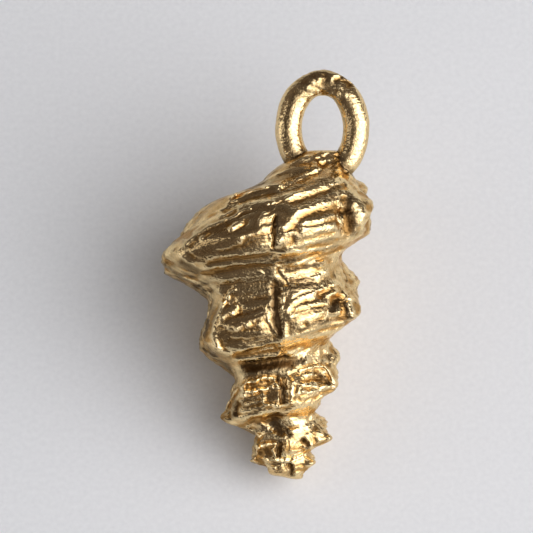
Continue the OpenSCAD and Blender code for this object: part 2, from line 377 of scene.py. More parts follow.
# %% Facets of the second whorl
SECOND_WHORL = (
    # dark ground of the left half, and the knob on it
    ("viewer", 222, 282, 270, 280,  0.0, 12.0),
    ("viewer", 232, 322, 268, 318,  0.0, 20.0),
    ("viewer", 206, 277, 270, 270,  1.0,  7.0),
    ("viewer", 224, 289, 276, 286,  0.0,  7.0),
    ("viewer", 243, 303, 268, 300,  0.0,  5.0),
    ("under",  198, 279, 206, 277,  0.0,  1.2),
    ("glint",  262, 271, 264, 272,  0.0,  1.2),
    ("glint",  222, 302, 236, 302,  0.0,  2.0),
    ("lamp",   236, 304, 239, 309,  0.0,  1.3),
    ("lamp",   222, 318, 240, 311,  1.0,  3.2),
    # edge of the left knob that the card lights, and the skin round it, painted darker with dirt and
    # painted shade
    ("card",   215, 333, 222, 319,  2.0,  1.6),
    ("card",   214, 330, 216, 345,  0.0,  1.6),
    ("soiled", 208, 320, 206, 336,  0.0,  2.2),
    ("soiled", 204, 350, 216, 356,  0.0,  2.0),
    # dark folds on the knob
    ("viewer", 219, 328, 266, 309,  2.0,  3.2),
    ("viewer", 221, 332, 232, 340,  0.0,  7.0),
    ("viewer", 230, 343, 240, 341,  0.0,  5.0),
    ("viewer", 218, 337, 217, 349,  0.0,  1.1),
    ("lamp",   221, 338, 219, 347,  0.0,  1.7),
    ("lamp",   220, 348, 226, 348,  0.0,  1.6),
    # bright wedge left of the slot
    ("lamp",   237, 329, 262, 320,  0.5,  3.4),
    ("glint",  262, 324, 268, 334,  0.0,  5.5),
    ("pale",   266, 308, 269, 320,  0.0,  2.8),
    ("glint",  244, 342, 272, 336,  0.5,  2.3),
    ("viewer", 236, 333, 260, 331,  1.0,  1.8),
    ("viewer", 228, 350, 277, 340,  1.0,  2.2),
    ("pale",   248, 353, 272, 346,  1.0,  1.2),
    ("lamp",   231, 351, 234, 353,  0.0,  1.6),
    ("viewer", 237, 356, 276, 352,  0.0,  2.5),
    # broad slot, and the fan of ridges to its right
    ("hollow", 275, 284, 279, 333, -1.0,  5.2),
    ("viewer", 280, 270, 290, 282,  0.0,  4.0),
    ("pale",   277, 264, 281, 265,  0.0,  1.3),
    ("lamp",   275, 276, 279, 277,  0.0,  1.5),
    ("lamp",   288, 324, 285, 334,  0.0,  3.0),
    ("lamp",   282, 299, 284, 300,  0.0,  1.6),
    ("lamp",   282, 309, 284, 305,  0.0,  1.2),
    ("lamp",   291, 276, 315, 269,  0.0,  1.4),
    ("lamp",   291, 285, 301, 283,  0.0,  1.6),
    ("lamp",   316, 279, 322, 272,  0.0,  3.0),
    ("hollow", 286, 271, 322, 263,  0.0,  2.0),
    ("hollow", 290, 280, 312, 279,  0.0,  2.0),
    ("lamp",   292, 297, 333, 285,  3.0,  2.2),
    ("viewer", 321, 296, 333, 291,  0.0,  2.6),
    ("lamp",   286, 310, 326, 303,  2.0,  2.3),
    ("lamp",   291, 317, 308, 309,  0.5,  2.2),
    ("hollow", 302, 313, 330, 307,  1.0,  1.4),
    ("lamp",   309, 320, 328, 314,  0.0,  2.6),
    ("pit",    332, 310, 338, 300,  0.0,  4.5),
    ("hollow", 306, 324, 352, 317,  0.5,  1.9),
    ("lamp",   302, 333, 323, 325,  0.0,  1.2),
    ("under",  296, 334, 320, 328,  0.0,  0.9),
    ("lamp",   311, 335, 338, 327,  0.0,  1.9),
    ("under",  298, 339, 320, 332,  0.0,  1.0),
    ("under",  292, 348, 322, 341,  0.0,  1.2),
    ("lamp",   290, 351, 302, 347,  0.0,  2.2),
    # right-hand knob
    ("lamp",   342, 303, 352, 298,  1.5,  1.3),
    ("hollow", 344, 303, 346, 312,  0.0,  1.6),
    ("lamp",   348, 304, 354, 306,  0.0,  3.2),
    ("lamp",   348, 312, 354, 315,  0.0,  2.4),
    # pits above it, painted dark as shade, and skin beside the top ridge painted darker with dirt and
    # painted shade
    ("hollow", 343, 264, 344, 269,  0.0,  1.2),
    ("hollow", 346, 273, 348, 280,  0.0,  1.2),
    ("soiled", 286, 288, 314, 284,  0.0,  3.5),
    ("hollow", 354, 284, 357, 283,  0.0,  1.5),
    # fine brown lines between the ridges: tarnish and painted shade in the creases
    ("lined",  291, 277, 315, 271,  0.0,  0.9),
    ("lined",  290, 285, 312, 281,  0.0,  0.9),
    ("lined",  291, 299, 329, 285,  0.5,  1.0),
    ("lined",  294, 306, 327, 297,  0.0,  0.9),
    ("lined",  294, 317, 326, 307,  2.0,  1.0),
    ("soiled", 300, 329, 345, 315,  1.0,  1.3),
    ("lined",  296, 336, 345, 321,  1.0,  0.9),
)

# %% Facets of the third whorl
THIRD_WHORL = (
    # dark ground of the left half, and the fold above it, painted darkest as shade
    ("viewer", 248, 402, 276, 398,  0.0,  9.0),
    ("up",     248, 368, 292, 362,  0.0,  7.5),
    # lens at the left, with its rims
    ("card",   228, 405, 240, 386,  1.0,  1.5),
    ("lamp",   240, 386, 275, 377,  2.0,  1.4),
    ("pale",   242, 389, 268, 382,  1.0,  1.6),
    ("lamp",   243, 394, 268, 387,  0.5,  3.0),
    # dark mouth and its lips
    ("hollow", 277, 376, 284, 390,  0.0,  2.6),
    ("hollow", 295, 362, 304, 360,  0.0,  3.0),
    ("hollow", 283, 392, 283, 398,  0.0,  4.5),
    ("lamp",   270, 383, 278, 386,  0.0,  2.4),
    ("viewer", 270, 390, 278, 389,  0.0,  1.3),
    ("lamp",   264, 395, 268, 404,  0.0,  2.4),
    ("under",  268, 404, 291, 404, -2.0,  1.4),
    ("lamp",   293, 384, 293, 391,  0.0,  1.7),
    # ridges under the lens
    ("hollow", 237, 402, 235, 413,  0.0,  4.0),
    ("lamp",   234, 409, 235, 409,  0.0,  0.9),
    ("viewer", 241, 399, 264, 394,  0.0,  1.3),
    ("lamp",   246, 403, 261, 398,  0.0,  1.2),
    ("viewer", 243, 409, 267, 402,  0.0,  1.6),
    ("viewer", 242, 417, 264, 408,  0.5,  1.7),
    ("glint",  258, 412, 267, 408,  0.0,  1.1),
    ("viewer", 228, 411, 229, 418,  0.0,  2.0),
    ("card",   218, 413, 224, 409,  0.0,  2.5),
    # horn at the right, and the ridges under it
    ("lamp",   300, 371, 322, 366,  1.5,  2.0),
    ("groove", 302, 373, 316, 371,  0.0,  0.9),
    ("hollow", 316, 374, 329, 382,  0.0,  4.2),
    ("under",  306, 386, 333, 387,  0.0,  1.4),
    ("lamp",   325, 370, 336, 386,  1.0,  2.0),
    ("lamp",   303, 379, 315, 375,  0.0,  1.3),
    ("lamp",   304, 384, 314, 382,  0.0,  1.2),
    ("lamp",   301, 396, 335, 388,  0.0,  1.5),
    ("under",  300, 399, 318, 394,  0.0,  1.0),
)

# %% Facets of the spire
SPIRE = (
    # dark ground of both whorls
    ("viewer", 262, 426, 278, 428,  0.0,  7.0),
    ("viewer", 266, 452, 278, 452,  0.0,  8.0),
    # slot and ridges of the fourth whorl
    ("hollow", 275, 419, 279, 432,  0.0,  4.5),
    ("viewer", 252, 429, 268, 426,  0.0,  2.4),
    ("card",   245, 426, 259, 418,  0.0,  1.3),
    ("viewer", 258, 422, 270, 418,  0.0,  1.2),
    ("lamp",   292, 418, 311, 424,  0.0,  4.0),
    ("lamp",   294, 434, 309, 427,  0.0,  4.0),
    ("groove", 284, 429, 298, 427,  0.0,  1.3),
    ("hollow", 286, 430, 294, 436,  0.0,  2.8),
    ("lamp",   292, 444, 296, 435,  0.0,  2.6),
    ("hollow", 303, 440, 308, 446,  0.0,  3.0),
    ("lamp",   312, 430, 312, 445,  0.0,  1.8),
    # ridges and pits of the fifth whorl
    ("lamp",   258, 446, 274, 443,  0.0,  2.6),
    ("hollow", 279, 442, 278, 456,  0.0,  2.8),
    ("lamp",   283, 443, 283, 445,  0.0,  1.5),
    ("lamp",   288, 442, 286, 455,  0.0,  2.4),
    ("lamp",   292, 447, 301, 445,  0.0,  1.4),
    ("lamp",   293, 455, 303, 450,  0.0,  1.6),
    ("groove", 291, 450, 301, 448,  0.0,  0.9),
    ("viewer", 260, 453, 265, 455,  0.0,  3.0),
    ("viewer", 258, 461, 262, 467,  0.0,  3.0),
    ("pale",   265, 457, 301, 458, -3.0,  1.5),
    ("viewer", 263, 463, 284, 463,  0.0,  1.2),
    ("pale",   273, 466, 276, 467,  0.0,  1.3),
    ("hollow", 289, 464, 293, 474,  0.0,  3.8),
    ("lamp",   296, 463, 303, 461,  0.0,  1.3),
    ("lamp",   297, 468, 303, 466,  0.0,  1.3),
    ("lamp",   296, 473, 303, 471,  0.0,  2.4),
)

# %% Facets of the loop
LOOP = (
    # pitted crown
    ("viewer", 302,  84, 337,  82,  4.0,  6.0),
    ("viewer", 296,  94, 306,  88,  1.0,  4.0),
    ("lamp",   312,  82, 320,  80,  0.0,  2.6),
    ("hollow", 315,  80, 317,  80,  0.0,  0.9),
    ("viewer", 322,  76, 330,  77,  0.0,  2.2),
    ("lamp",   332,  79, 336,  78,  0.0,  2.3),
    ("lamp",   338,  78, 344,  81,  0.0,  2.4),
    ("lamp",   338,  77, 340,  77,  0.0,  2.4),
    ("hollow", 342,  75, 350,  86,  0.0,  0.9),
    ("hollow", 350,  86, 353,  80,  0.0,  0.8),
    ("lamp",   346,  79, 350,  82,  0.0,  3.0),
    # dirt and painted shade down both legs
    ("soiled", 294,  97, 286, 146,  2.5,  3.4),
    ("soiled", 342, 102, 346, 148,  4.5,  4.5),
)
SHELL_CHARTS = (BODY_WHORL, SECOND_WHORL, THIRD_WHORL, SPIRE)
print("strokes:", [len(rows) for rows in (*SHELL_CHARTS, LOOP)])

# %% Raised rims
RIMS = (
    # rise in millimetres, then a stroke as above
    # body whorl: crest of the shoulder, slot
    ( 0.10, 186, 241, 226, 220,  1.0, 1.5),
    ( 0.10, 226, 220, 250, 209,  0.0, 1.4),
    (-0.12, 275, 218, 273, 246,  0.5, 1.8),
    # valley before the right-hand knob
    (-0.06, 350, 204, 353, 228, -1.5, 7.0),
    ( 0.10, 362, 206, 364, 230, -1.5, 2.5),
    # second whorl: rim of the left knob, slot, right-hand knob
    ( 0.12, 234, 289, 214, 322,  2.0, 1.8),
    ( 0.10, 214, 322, 219, 350, -1.5, 1.7),
    (-0.12, 276, 286, 279, 334, -1.0, 4.5),
    ( 0.14, 350, 299, 352, 316, -1.5, 3.6),
    # third whorl: closed rim round the left lens, lips of the dark mouth, horn on the right
    ( 0.14, 223, 413, 246, 382,  3.0, 1.6),
    ( 0.14, 246, 382, 274, 377,  1.5, 1.5),
    ( 0.12, 274, 377, 281, 387, -1.5, 1.5),
    ( 0.12, 245, 391, 281, 387,  1.0, 1.6),
    (-0.08, 246, 387, 270, 382,  1.0, 2.0),
    (-0.12, 284, 379, 283, 398,  0.0, 3.6),
    ( 0.10, 292, 381, 290, 401, -1.0, 1.8),
    ( 0.12, 290, 401, 264, 402, -2.5, 1.5),
    ( 0.08, 240, 399, 263, 393,  0.0, 1.1),
    ( 0.08, 245, 404, 264, 399,  0.0, 1.1),
    ( 0.08, 243, 411, 268, 404,  0.0, 1.1),
    ( 0.12, 300, 371, 324, 366,  1.5, 1.7),
    ( 0.14, 324, 366, 335, 386,  1.5, 1.7),
    (-0.12, 308, 381, 328, 380,  0.0, 4.2),
    ( 0.10, 303, 391, 335, 387,  0.0, 1.6),
    # spire
    ( 0.12, 228, 424, 258, 434,  0.0, 1.5),
    (-0.14, 268, 420, 280, 430,  0.0, 5.0),
    ( 0.10, 259, 447, 274, 442,  1.0, 1.5),
    ( 0.10, 275, 442, 275, 457, -1.5, 1.4),
    (-0.16, 280, 444, 279, 456,  0.0, 2.4),
    ( 0.12, 262, 459, 303, 456, -3.0, 1.5),
    ( 0.12, 259, 447, 253, 461,  1.5, 1.6),
    ( 0.10, 253, 461, 268, 472, -1.5, 1.6),
    (-0.14, 260, 452, 262, 466,  0.0, 3.0),
    ( 0.12, 326, 416, 330, 437,  1.0, 2.0),
    (-0.10, 303, 440, 309, 446,  0.0, 2.6),
    (-0.12, 290, 464, 293, 474,  0.0, 3.0),
)
print("rims:", len(RIMS))

# %% Strokes on the photograph
STROKE_SAMPLES = 14
STROKE_REACH = 1.6
EDGE_SHARPNESS = 4


def stroke_cover(x, y, x0, y0, x1, y1, bend, width):
    """How far places are covered by a stroke along a shallow arc, and how far along it they are.

    Gives which places are near at all, and for those the cover from 0 to 1 and the length.
    """
    length = math.hypot(x1 - x0, y1 - y0)
    # a positive bend bows the arc up the picture
    side = np.array([y1 - y0, x0 - x1]) / length
    side = -side if side[1] > 0 else side
    middle = np.array([x0 + x1, y0 + y1]) / 2 + 2 * bend * side
    t = np.linspace(0, 1, STROKE_SAMPLES)
    arc_x = (1 - t) ** 2 * x0 + 2 * t * (1 - t) * middle[0] + t * t * x1
    arc_y = (1 - t) ** 2 * y0 + 2 * t * (1 - t) * middle[1] + t * t * y1
    reach = STROKE_REACH * width
    near = ((x > arc_x.min() - reach) & (x < arc_x.max() + reach)
            & (y > arc_y.min() - reach) & (y < arc_y.max() + reach))
    px, py = x[near], y[near]
    gap, far = np.full(px.shape, np.inf), np.zeros(px.shape)
    for k in range(STROKE_SAMPLES - 1):
        step_x, step_y = arc_x[k + 1] - arc_x[k], arc_y[k + 1] - arc_y[k]
        along = ((px - arc_x[k]) * step_x + (py - arc_y[k]) * step_y) / (step_x ** 2 + step_y ** 2)
        along = np.clip(along, 0, 1)
        this_gap = np.hypot(px - arc_x[k] - along * step_x, py - arc_y[k] - along * step_y)
        far = np.where(this_gap < gap, (k + along) * math.hypot(step_x, step_y), far)
        gap = np.minimum(gap, this_gap)
    return near, np.exp(-(gap / width) ** EDGE_SHARPNESS), far


print(f"{1 / PHOTO_MM:.2f} pixels of the photograph to the millimetre")

# %% What the strokes ask for
RIM_SLACK = 0.97
# chips: length and half width in pixels, and the degrees of turning between which they set in
CHIP_LENGTH, CHIP_WIDTH = 8.0, 0.8
CHIPS_SET_IN = (18, 36)


def painted_facets(charts, x, y, right, up):
    """What the strokes want at photo places, from the way the skin faces there unchanged.

    Gives how firmly each place is held, its degrees to the right and up, and how dark it is.
    A later stroke lies over the earlier ones, and its rim is left loose.
    """
    hold, dark, right, up = np.zeros_like(x), np.zeros_like(x), right.copy(), up.copy()
    plain_right, plain_up = right.copy(), up.copy()
    for rows in charts:
        for faces, *stroke in rows:
            near, cover, far = stroke_cover(x, y, *stroke)
            least_right, most_right, least_up, most_up = FACINGS[faces]
            # how dark this stroke paints its skin, as tarnish and as painted shade
            stained_and_shaded = STAINS_AND_SHADE.get(faces, 0)
            # 1 at the edge of the stroke, where the cover is a half
            rim = 4 * cover * (1 - cover)
            hold[near] += (1 - hold[near]) * cover
            hold[near] *= 1 - RIM_SLACK * rim
            if least_right > 0:
                # a stroke that turns the skin far towards the lamp steps back at each chip
                length = math.hypot(stroke[2] - stroke[0], stroke[3] - stroke[1])
                chip_length = length / max(1, round(length / CHIP_LENGTH))
                off = (far + chip_length / 2) % chip_length - chip_length / 2
                turned = smooth_step(*CHIPS_SET_IN, least_right - plain_right[near])
                chip = np.exp(-(off / CHIP_WIDTH) ** 2) * turned
                hold[near] *= 1 - RIM_SLACK * chip * cover
            for layer, value in ((right, np.clip(plain_right[near], least_right, most_right)),
                                 (up, np.clip(plain_up[near], least_up, most_up)),
                                 (dark, stained_and_shaded)):
                layer[near] += (value - layer[near]) * cover
    return hold, right, up, dark


print(f"chips every {CHIP_LENGTH * PHOTO_MM:.2f} mm along a cut")

# %% [markdown]
# ## Grain of the casting
#
# Between the cuts the metal isn't smooth. It has the grain of the mould, hair-fine ribs
# along the whorls and small dents on the flanks. Smooth random lumps, with sizes in
# millimetres, stand for them. Modelled one by one they would take days. They come from one
# seeded lattice, so that every run gives the same shell.

# %% Lumps of many sizes
SEED = 11
LATTICE_SIDE = 32
lattice = np.random.default_rng(SEED).random((LATTICE_SIDE,) * 3) * 2 - 1
print(f"lattice: {lattice.size} numbers, {lattice.min():.2f} to {lattice.max():.2f}")


def lumps(points, size):
    """Smooth random lumps of a given size, between about -1 and 1."""
    cell = np.floor(points / size).astype(int)
    part = points / size - cell
    part = part * part * (3 - 2 * part)
    total = np.zeros(points.shape[:-1])
    for corner in np.ndindex(2, 2, 2):
        i, j, k = np.moveaxis((cell + corner) % LATTICE_SIDE, -1, 0)
        share = np.prod(np.where(np.array(corner) == 1, part, 1 - part), axis=-1)
        total += share * lattice[i, j, k]
    return total


def layered(points, layers):
    """Lumps on lumps: each layer has a height, a size and its own place in the lattice."""
    return sum(height * lumps(points + move, size) for height, size, move in layers)


# %% [markdown]
# ## Relaxing the skin
#
# The strokes ask for slopes, and no surface can have them all: a ridge that faced the lamp
# all along would stand ever higher. So the front of the sheet becomes a net of springs. Each
# edge of the grid pulls its two ends towards the step in height that it would like, firmly
# under a stroke and weakly at its rim, and a weak anchor holds every place near the plain
# shell. Conjugate gradients find the heights at which all the pulls balance. What can't be
# had gathers in the slack rims, which is how a graver's cut looks: a flat facet between two
# sharp steps.

# %% Places on the photograph, and the way that they face
# layers of ragged edges: pixels far, millimetres wide, and places in the lattice
RAGGED = ((1.3, 0.40, 0, 5), (1.0, 0.16, 2, 8))
# steepest facings that still count: degrees to the right, and the sine of those up
STEEPEST_RIGHT, STEEPEST_UP = 80, 0.97
NOT_ZERO = 1e-12


def photo_place(x, y):
    """Where a drawing place shows in the photograph, in its pixels."""
    return x / PHOTO_MM + PHOTO_ORIGIN[0], PHOTO_ORIGIN[1] - y / PHOTO_MM


def ragged_place(place):
    """Photo places, shaken a little so that the edges of facets come out ragged."""
    x, y = photo_place(place[..., 0], place[..., 1])
    for far, size, move_x, move_y in RAGGED:
        x = x + far * lumps(place + move_x, size)
        y = y + far * lumps(place + move_y, size)
    return x, y


def faced(place):
    """Degrees to the right and up that each place of a sheet faces."""
    normal = np.cross(np.gradient(place, axis=1), np.gradient(place, axis=0))
    normal *= np.sign(np.mean(normal[..., 2] * place[..., 2]))
    normal /= np.linalg.norm(normal, axis=-1, keepdims=True) + NOT_ZERO
    right = np.degrees(np.arctan2(normal[..., 0], normal[..., 2]))
    up = np.degrees(np.arcsin(np.clip(normal[..., 1], -STEEPEST_UP, STEEPEST_UP)))
    return np.clip(right, -STEEPEST_RIGHT, STEEPEST_RIGHT), up


print(f"edges of cuts are shaken by up to {sum(far for far, *_ in RAGGED)} pixels")

# %% Springs and their balance
RELAX_ROUNDS = 700


def ends(grid, axis):
    """The two ends of every edge that runs along an axis of a sheet's grid."""
    return (grid[:-1], grid[1:]) if axis == 0 else (grid[:, :-1], grid[:, 1:])


def gather(edges, axis, shape, sign=-1):
    """Sum of what every edge pulls at its two ends, or with a sign of 1 of how stiff it is."""
    total = np.zeros(shape)
    first, second = ends(total, axis)
    first += sign * edges
    second += edges
    return total


def relaxed(stiff, pull, weight):
    """Heights at which the pulls of all edges are in balance, by conjugate gradients."""
    share = weight + sum(gather(stiff[axis], axis, pull.shape, 1) for axis in (0, 1))

    def strain(h):
        return weight * h + sum(gather(stiff[axis] * np.diff(h, axis=axis), axis, pull.shape)
                                for axis in (0, 1))

    h, rest = np.zeros(pull.shape), pull.copy()
    step = rest / share
    power = np.sum(rest * step)
    for _ in range(RELAX_ROUNDS):
        bent = strain(step)
        far = power / np.sum(step * bent)
        h += far * step
        rest -= far * bent
        better = rest / share
        last, power = power, np.sum(rest * better)
        step = better + power / last * step
    return h, rest


print("rounds of balancing:", RELAX_ROUNDS)

# %% Carve the facets
# pull of an edge that no stroke holds, beside 1 for one that is held
LOOSE_HOLD = 0.012
# pull towards the plain shell on the front, and where the skin has to stay as it is
ANCHOR, FIXED = 0.08, 1e4
# an edge's length counts little in depth, and is never quite nothing
DEPTH_SHARE, LEAST_RUN = 0.15, 1e-5
CUTS_FADE = 0.1


def carve(charts, place, free):
    """Heights towards the viewer that turn the front of a sheet to its charted facets."""
    x, y, z = np.moveaxis(place, -1, 0)
    facing_right, facing_up = faced(place)
    weight = ANCHOR + FIXED * (1 - free) ** 2
    stiff, pull = [], np.zeros(x.shape)
    for axis in (0, 1):
        (x0, x1), (y0, y1), (z0, z1), (f0, f1) = (ends(g, axis) for g in (x, y, z, free))
        (px0, px1), (py0, py1) = (ends(g, axis) for g in ragged_place(place))
        (r0, r1), (u0, u1) = (ends(g, axis) for g in (facing_right, facing_up))
        hold, right, up, _ = painted_facets(
            charts, (px0 + px1) / 2, (py0 + py1) / 2, (r0 + r1) / 2, (u0 + u1) / 2)
        right, up = np.radians(right), np.radians(up)
        climb = -np.tan(right) * (x1 - x0) - np.tan(up) / np.cos(right) * (y1 - y0)
        wanted = climb - (z1 - z0)
        run = (x1 - x0) ** 2 + (y1 - y0) ** 2 + DEPTH_SHARE * (z1 - z0) ** 2 + LEAST_RUN
        hold *= (f0 + f1) / 2
        stiff.append((hold + LOOSE_HOLD) / run)
        pull += gather(hold / run * wanted, axis, x.shape)
    h, rest = relaxed(stiff, pull, weight)
    print(f"carved {h.min():.2f} to {h.max():.2f} mm, pulls left over {np.abs(rest).max():.1e}")
    return h * smooth_step(0, CUTS_FADE, free)


print(f"a held edge pulls {1 / LOOSE_HOLD:.0f} times as hard as a loose one")

# %% Rims, cords and a running mean
CORDS_PER_WHORL = 9
# how far the cords wander: shares of a cord's spacing, millimetres, places in the lattice
CORD_WANDER = ((0.35, 1.3, 0), (0.15, 0.6, 7))
# how strong they are, how much that changes, and over how many millimetres
CORD_STRENGTH, CORD_CHANGE, CORD_CHANGE_SIZE = 0.6, 0.6, 0.9
CORD_STRETCH = (0.5, 1, 0.5)
MEAN_REACH = 3


def raised(rows, place):
    """Height of the rims at each place, in millimetres."""
    x, y = ragged_place(place)
    height = np.zeros_like(x)
    for rise, *stroke in rows:
        near, cover, _ = stroke_cover(x, y, *stroke)
        height[near] += rise * cover
    return height


def cords(place, level, angle):
    """Fine cords that wind with the shell."""
    phase = (level + angle / 360) * CORDS_PER_WHORL
    wave = np.sin(2 * np.pi * (phase + layered(place, CORD_WANDER)))
    strength = CORD_STRENGTH + CORD_CHANGE * lumps(place * CORD_STRETCH + 3, CORD_CHANGE_SIZE)
    return wave * strength


def spread(grid):
    """Mean over a square of neighbours, along the sheet and round it."""
    n = 2 * MEAN_REACH + 1
    for axis in (0, 1):
        mode = "wrap" if axis else "edge"
        width = [(MEAN_REACH + 1, MEAN_REACH) if k == axis else (0, 0) for k in (0, 1)]
        running = np.cumsum(np.pad(grid, width, mode), axis=axis)
        grid = (running[n:] - running[:-n] if axis == 0 else running[:, n:] - running[:, :-n]) / n
    return grid


def above_mean(height):
    """How far each place stands above the mean of its surroundings."""
    return height - spread(spread(height))


print(f"{CORDS_PER_WHORL} cords to a whorl, mean over {2 * MEAN_REACH + 1} columns, twice")

# %% Rows of the sheet
# steps in level, and what a step out counts beside a step along the axis
LEVEL_SAMPLES, STEP_OUT = 400, 0.7

# levels against the share of the sheet's length, so that its rows lie evenly on the shell
LEVELS = np.linspace(RINGS[0, 0], RINGS[-1, 0], LEVEL_SAMPLES)
steps = np.hypot(np.diff(ring_value(LEVELS, "y")), STEP_OUT * np.diff(ring_value(LEVELS, "keel")))
run = np.concatenate([[0], np.cumsum(steps)])
LENGTH_SHARES = run / run[-1]
print(f"the sheet runs {run[-1]:.1f} mm along the shell")

# %% Tarnish and painted shade of the sides
# degrees about the axis: where the side that the lamp lights ends, and the left side fades
LIT_SIDE_END, LEFT_SIDE_FADE = 100, (-125, -100)
# mean, contrast and size in millimetres
STREAKS, PATCHES = (0.35, 1.5, 0.22), (0.5, 0.9, 0.4)
# how dark they are at most: faint on the lit side, and dark down the left side, away from the lamp, where
# they are painted shade as well as tarnish
LIT_STREAKS, LEFT_STREAKS_AND_SHADE, BACK_PATCHES = 0.15, 0.65, 0.5


def spotted(points, mean, contrast, size):
    """Soft spots from 0 to 1."""
    return np.clip(mean + contrast * lumps(points, size), 0, 1)


def side_tarnish_and_shade(place, stretched, angle):
    """Dark streaks of tarnish and painted shade down the left side, faint ones on the lit side and broad
    patches behind.
    """
    lit = (angle > 0) & (angle < LIT_SIDE_END)
    left = smooth_step(*LEFT_SIDE_FADE, angle) * (angle < 0)
    streaks = spotted(stretched, *STREAKS)
    patches = spotted(place, *PATCHES)
    return np.where(lit, LIT_STREAKS * streaks,
                    LEFT_STREAKS_AND_SHADE * left * streaks + BACK_PATCHES * (1 - left) * patches)


print(f"streaks {STREAKS[-1]} mm and patches {PATCHES[-1]} mm across")

# %% Surface of the shell
# shares of the columns that are spread evenly and that are drawn to the front
EVEN_COLUMNS, FRONT_COLUMNS = 0.4, 0.6
# cosines of the angle about the axis: where the charted front fades in, and the sides fade out
FRONT_FADE, SIDE_FADE = (0.06, 0.3), (0.35, 0.8)
# shares of the sheet's length in which the cuts end and the tips close
CUTS_END, TIPS_CLOSE = 0.02, 0.004
# a turn that lays X along the whorls, and the scales that stretch lumps there
ALONG_WHORLS = np.array([[0.96, 0.28, 0], [-0.28, 0.96, 0], [0, 0, 1]])
STRETCH, RIB_STRETCH = (0.35, 1, 0.5), (0.6, 1, 1)
# millimetres: height of the cords in front, what they gain behind, depth and size of ribs
CORD_HEIGHT, CORD_GAIN = 0.008, 0.035
RIB_DEPTH, RIB_SIZE = 0.07, 0.34
# height and size in millimetres, and place in the lattice
FINE_RIBS, GRIT = ((0.02, 0.2, 5),), ((0.012, 0.13, 0),)
DENTS = ((0.07, 0.55, 0), (0.055, 0.28, 4), (0.025, 0.15, 6))
# share of the grain that a clean cut takes away
GRAIN_CUT_AWAY = 0.8


def off_ends(v, share):
    """0 at both ends of a run from 0 to 1, and 1 from a share of it on."""
    return smooth_step(0, share, v) * smooth_step(0, share, 1 - v)


def shell_surface(u, v):
    """Places of a sheet wrapped into the shell: u from 0 to 1 round it, v along it."""
    side = 2 * u - 1
    angle = 180 * (EVEN_COLUMNS * side + FRONT_COLUMNS * side ** 3)
    level = np.interp(v, LENGTH_SHARES, LEVELS)
    radius = body_radius(level, angle)
    place = shell_place(level, angle, radius)
    facing = smooth_step(*FRONT_FADE, np.cos(np.radians(angle)))
    flank = 1 - smooth_step(*SIDE_FADE, np.cos(np.radians(angle)))
    cut_ends = off_ends(v, CUTS_END)

    carved = carve(SHELL_CHARTS, place, facing * cut_ends)
    hold, *_, dark = painted_facets(SHELL_CHARTS, *ragged_place(place), *faced(place))
    carved += raised(RIMS, place) * facing * cut_ends

    stretched = place @ ALONG_WHORLS.T * STRETCH
    ribs = np.abs(lumps(stretched * RIB_STRETCH + 9, RIB_SIZE))
    grain = -RIB_DEPTH * ribs + layered(stretched, FINE_RIBS) + layered(place, GRIT)
    cord = cords(place, level, angle) * (CORD_HEIGHT + CORD_GAIN * (1 - facing))
    dents = flank * layered(place, DENTS)
    relief = (cord + dents + grain * (1 - GRAIN_CUT_AWAY * hold * facing)) * cut_ends

    place = shell_place(level, angle, (radius + relief) * off_ends(v, TIPS_CLOSE))
    place[..., 2] += carved
    # the sides are painted darker: tarnish, and painted shade down the left side, away from the lamp
    dull_and_shaded = flank * side_tarnish_and_shade(place, stretched, angle)
    return place, above_mean(relief + carved), dark * facing + dull_and_shaded


print("finest relief in the mesh:", min(size for _, size, _ in (*FINE_RIBS, *GRIT, *DENTS)), "mm")

# %% [markdown]
# ## Building the shell
#
# A shell is often swept as a tube, but a tube that winds on itself leaves hidden walls. Here
# a flat grid is wrapped instead. Its rows are levels of the axis and its columns angles about
# it, closest together at the front where the cuts are. Its long edges are sewn and its ends
# drawn to points, so the skin is closed like that of the casting.

# %% Wrap a sheet into the shell
SHELL_ROWS, SHELL_COLUMNS = 326, 256
GRID_DIGITS = 6
SEWN_WITHIN = 1e-7


def add_object(name, data):
    """A new object in the scene, at the origin."""
    thing = bpy.data.objects.new(name, data)
    bpy.context.scene.collection.objects.link(thing)
    return thing


def wrapped_sheet(name, columns, rows, surface):
    """A flat grid, bent into a closed form by a surface function and sewn at its seam."""
    bm = bmesh.new()
    bmesh.ops.create_grid(bm, x_segments=columns, y_segments=rows, size=1)
    flat = (np.array([v.co[:2] for v in bm.verts]) + 1) / 2
    shape = rows + 1, columns + 1
    # row by row, whatever order the grid's vertices come in
    order = np.lexsort(np.round(flat, GRID_DIGITS).T)
    place, relief, tarnish_and_shade = surface(*flat[order].T.reshape(2, *shape))
    place = on_table(place.reshape(-1, 3))
    bm.verts.ensure_lookup_table()
    for i, point in zip(order, place):
        bm.verts[i].co = point
    bmesh.ops.remove_doubles(bm, verts=bm.verts, dist=SEWN_WITHIN)
    bmesh.ops.recalc_face_normals(bm, faces=bm.faces)
    mesh = bpy.data.meshes.new(name)
    bm.to_mesh(mesh)
    loose = sum(len(e.link_faces) != 2 for e in bm.edges)
    bm.free()
    print(f"{name}: {len(mesh.polygons)} faces, {loose} open edges")
    return add_object(name, mesh), place, relief.ravel(), tarnish_and_shade.ravel()


shell, shell_places, shell_relief, shell_tarnish_and_shade = wrapped_sheet(
    "shell", SHELL_COLUMNS, SHELL_ROWS, shell_surface)

# %% [markdown]
# ## The hanging loop
#
# The loop is round wire in an oval, joined to the model before it was cast, and worn and
# pitted at its crown, where a ring hangs. A torus would make a round ring only, so the
# wire is a second grid wrapped round an oval, with its foot deep in the shell's boss. A union
# melts the two into one skin without walls inside.

# %% Wrap a sheet into the loop
WIRE_R = 0.71
LOOP_RX, LOOP_RY = 1.81, 2.44
LOOP_MIDDLE = (3.04, 5.88)
LOOP_COLUMNS, LOOP_ROWS = 200, 64
